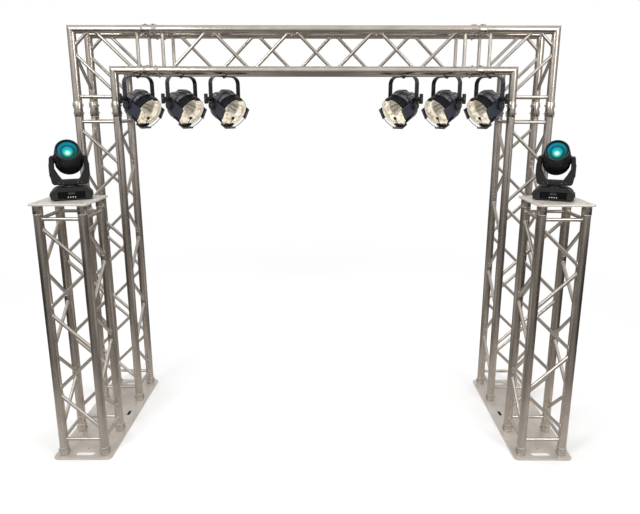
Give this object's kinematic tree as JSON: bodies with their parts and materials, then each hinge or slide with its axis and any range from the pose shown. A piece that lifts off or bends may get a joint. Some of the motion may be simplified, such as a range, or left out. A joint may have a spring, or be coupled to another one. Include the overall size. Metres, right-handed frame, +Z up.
{
  "type": "truss dj booth",
  "caption": "Box truss DJ booth: an arch and front towers on shared base plates, can lamps hung under the beam and a moving head light on top of each tower.",
  "frame": {"origin": "on the floor, in the middle of the booth", "axes": "+X along the beam to the audience's right, +Y away from the audience, +Z up"},
  "size_m": [3.05, 0.95, 2.51],
  "materials": {
    "truss_aluminium": "brushed mill finish",
    "plate_aluminium": "brushed mill finish",
    "black_paint": "satin powder coat",
    "knob_plastic": "moulded matt",
    "bolt_steel": "zinc plated",
    "lamp_glass": "clear ribbed glass over a silvered reflector",
    "head_case": "fine matt texture",
    "head_glass": "clear glass lit teal",
    "display": "glossy dark panel"
  },
  "bodies": {
    "structure": {"beam_truss": "truss_aluminium", "base_plate_left": "plate_aluminium", "leg_truss_left": "truss_aluminium", "tower_truss_left": "truss_aluminium", "top_plate_left": "plate_aluminium", "corner_block_left": "truss_aluminium", "head_base_left": "head_case", "head_display_left": "display", "base_plate_right": "plate_aluminium", "leg_truss_right": "truss_aluminium", "tower_truss_right": "truss_aluminium", "top_plate_right": "plate_aluminium", "corner_block_right": "truss_aluminium", "head_base_right": "head_case", "head_display_right": "display", "lamp_1_hanging_bolt": "bolt_steel", "lamp_2_hanging_bolt": "bolt_steel", "lamp_3_hanging_bolt": "bolt_steel", "lamp_4_hanging_bolt": "bolt_steel", "lamp_5_hanging_bolt": "bolt_steel", "lamp_6_hanging_bolt": "bolt_steel"},
    "lamp_1_yoke": {"lamp_1_yoke": "black_paint", "lamp_1_tilt_knob": "knob_plastic"},
    "lamp_1_can": {"lamp_1_housing": "black_paint", "lamp_1_sealed_lamp": "lamp_glass", "lamp_1_bezel": "black_paint"},
    "lamp_2_yoke": {"lamp_2_yoke": "black_paint", "lamp_2_tilt_knob": "knob_plastic"},
    "lamp_2_can": {"lamp_2_housing": "black_paint", "lamp_2_sealed_lamp": "lamp_glass", "lamp_2_bezel": "black_paint"},
    "lamp_3_yoke": {"lamp_3_yoke": "black_paint", "lamp_3_tilt_knob": "knob_plastic"},
    "lamp_3_can": {"lamp_3_housing": "black_paint", "lamp_3_sealed_lamp": "lamp_glass", "lamp_3_bezel": "black_paint"},
    "lamp_4_yoke": {"lamp_4_yoke": "black_paint", "lamp_4_tilt_knob": "knob_plastic"},
    "lamp_4_can": {"lamp_4_housing": "black_paint", "lamp_4_sealed_lamp": "lamp_glass", "lamp_4_bezel": "black_paint"},
    "lamp_5_yoke": {"lamp_5_yoke": "black_paint", "lamp_5_tilt_knob": "knob_plastic"},
    "lamp_5_can": {"lamp_5_housing": "black_paint", "lamp_5_sealed_lamp": "lamp_glass", "lamp_5_bezel": "black_paint"},
    "lamp_6_yoke": {"lamp_6_yoke": "black_paint", "lamp_6_tilt_knob": "knob_plastic"},
    "lamp_6_can": {"lamp_6_housing": "black_paint", "lamp_6_sealed_lamp": "lamp_glass", "lamp_6_bezel": "black_paint"},
    "head_yoke_left": {"head_yoke_left": "head_case"},
    "head_barrel_left": {"head_barrel_left": "head_case", "head_glass_left": "head_glass"},
    "head_yoke_right": {"head_yoke_right": "head_case"},
    "head_barrel_right": {"head_barrel_right": "head_case", "head_glass_right": "head_glass"}
  },
  "joints": [
    {"name": "lamp_1_swing", "type": "hinge", "parent": "structure", "child": "lamp_1_yoke", "pos_m": [-1.089, 0.185, 2.206], "axis": [0, 0, 1], "range_deg": [-20, 35]},
    {"name": "lamp_1_tilt", "type": "hinge", "parent": "lamp_1_yoke", "child": "lamp_1_can", "pos_m": [-1.089, 0.185, 2.034], "axis": [0.454, 0.891, 0], "range_deg": [-44, 56]},
    {"name": "lamp_2_swing", "type": "hinge", "parent": "structure", "child": "lamp_2_yoke", "pos_m": [-0.822, 0.185, 2.206], "axis": [0, 0, 1], "range_deg": [-20, 35]},
    {"name": "lamp_2_tilt", "type": "hinge", "parent": "lamp_2_yoke", "child": "lamp_2_can", "pos_m": [-0.822, 0.185, 2.034], "axis": [0.5299, 0.848, 0], "range_deg": [-44, 56]},
    {"name": "lamp_3_swing", "type": "hinge", "parent": "structure", "child": "lamp_3_yoke", "pos_m": [-0.555, 0.185, 2.206], "axis": [0, 0, 1], "range_deg": [-20, 35]},
    {"name": "lamp_3_tilt", "type": "hinge", "parent": "lamp_3_yoke", "child": "lamp_3_can", "pos_m": [-0.555, 0.185, 2.034], "axis": [0.6018, 0.7986, 0], "range_deg": [-44, 56]},
    {"name": "lamp_4_swing", "type": "hinge", "parent": "structure", "child": "lamp_4_yoke", "pos_m": [0.555, 0.185, 2.206], "axis": [0, 0, 1], "range_deg": [-35, 20]},
    {"name": "lamp_4_tilt", "type": "hinge", "parent": "lamp_4_yoke", "child": "lamp_4_can", "pos_m": [0.555, 0.185, 2.034], "axis": [0.6018, -0.7986, 0], "range_deg": [-44, 56]},
    {"name": "lamp_5_swing", "type": "hinge", "parent": "structure", "child": "lamp_5_yoke", "pos_m": [0.822, 0.185, 2.206], "axis": [0, 0, 1], "range_deg": [-35, 20]},
    {"name": "lamp_5_tilt", "type": "hinge", "parent": "lamp_5_yoke", "child": "lamp_5_can", "pos_m": [0.822, 0.185, 2.034], "axis": [0.5299, -0.848, 0], "range_deg": [-44, 56]},
    {"name": "lamp_6_swing", "type": "hinge", "parent": "structure", "child": "lamp_6_yoke", "pos_m": [1.089, 0.185, 2.206], "axis": [0, 0, 1], "range_deg": [-35, 20]},
    {"name": "lamp_6_tilt", "type": "hinge", "parent": "lamp_6_yoke", "child": "lamp_6_can", "pos_m": [1.089, 0.185, 2.034], "axis": [0.454, -0.891, 0], "range_deg": [-44, 56]},
    {"name": "head_pan_left", "type": "hinge", "parent": "structure", "child": "head_yoke_left", "pos_m": [-1.355, -0.269, 1.59215], "axis": [0, 0, 1], "range_deg": [-270, 270]},
    {"name": "head_tilt_left", "type": "hinge", "parent": "head_yoke_left", "child": "head_barrel_left", "pos_m": [-1.355, -0.269, 1.74415], "axis": [0.9135, 0.4067, 0], "range_deg": [-189, 75]},
    {"name": "head_pan_right", "type": "hinge", "parent": "structure", "child": "head_yoke_right", "pos_m": [1.355, -0.269, 1.59215], "axis": [0, 0, 1], "range_deg": [-270, 270]},
    {"name": "head_tilt_right", "type": "hinge", "parent": "head_yoke_right", "child": "head_barrel_right", "pos_m": [1.355, -0.269, 1.74415], "axis": [0.9135, -0.4067, 0], "range_deg": [-189, 75]}
  ]
}
